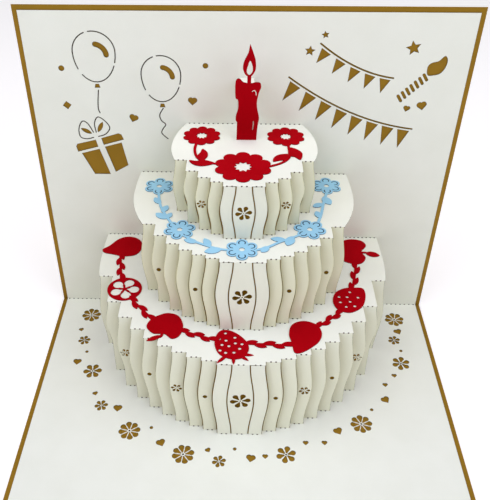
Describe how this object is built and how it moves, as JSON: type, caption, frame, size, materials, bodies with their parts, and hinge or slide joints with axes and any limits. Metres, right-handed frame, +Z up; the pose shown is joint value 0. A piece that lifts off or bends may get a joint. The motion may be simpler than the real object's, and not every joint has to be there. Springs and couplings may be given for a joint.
{
  "type": "pop-up card",
  "caption": "Greeting card standing open at a right angle, with a slit and folded paper cake of round tiers rising from its fold, a paper candle and paper garlands.",
  "frame": {"origin": "middle of the card's footprint, on the surface that it stands on", "axes": "+X along the fold, +Y towards the upright back panel, +Z up"},
  "size_m": [0.18, 0.15, 0.15],
  "materials": {
    "gold_card": "satin metallic gold card",
    "white_card": "matt uncoated white card",
    "red_paper": "matt red paper",
    "blue_paper": "matt light blue paper"
  },
  "bodies": {
    "root": {"cover": "gold_card", "insert": "white_card", "candle": "red_paper", "rose_garland": "red_paper", "blossom_garland": "blue_paper", "fruit_garland": "red_paper"}
  },
  "joints": []
}
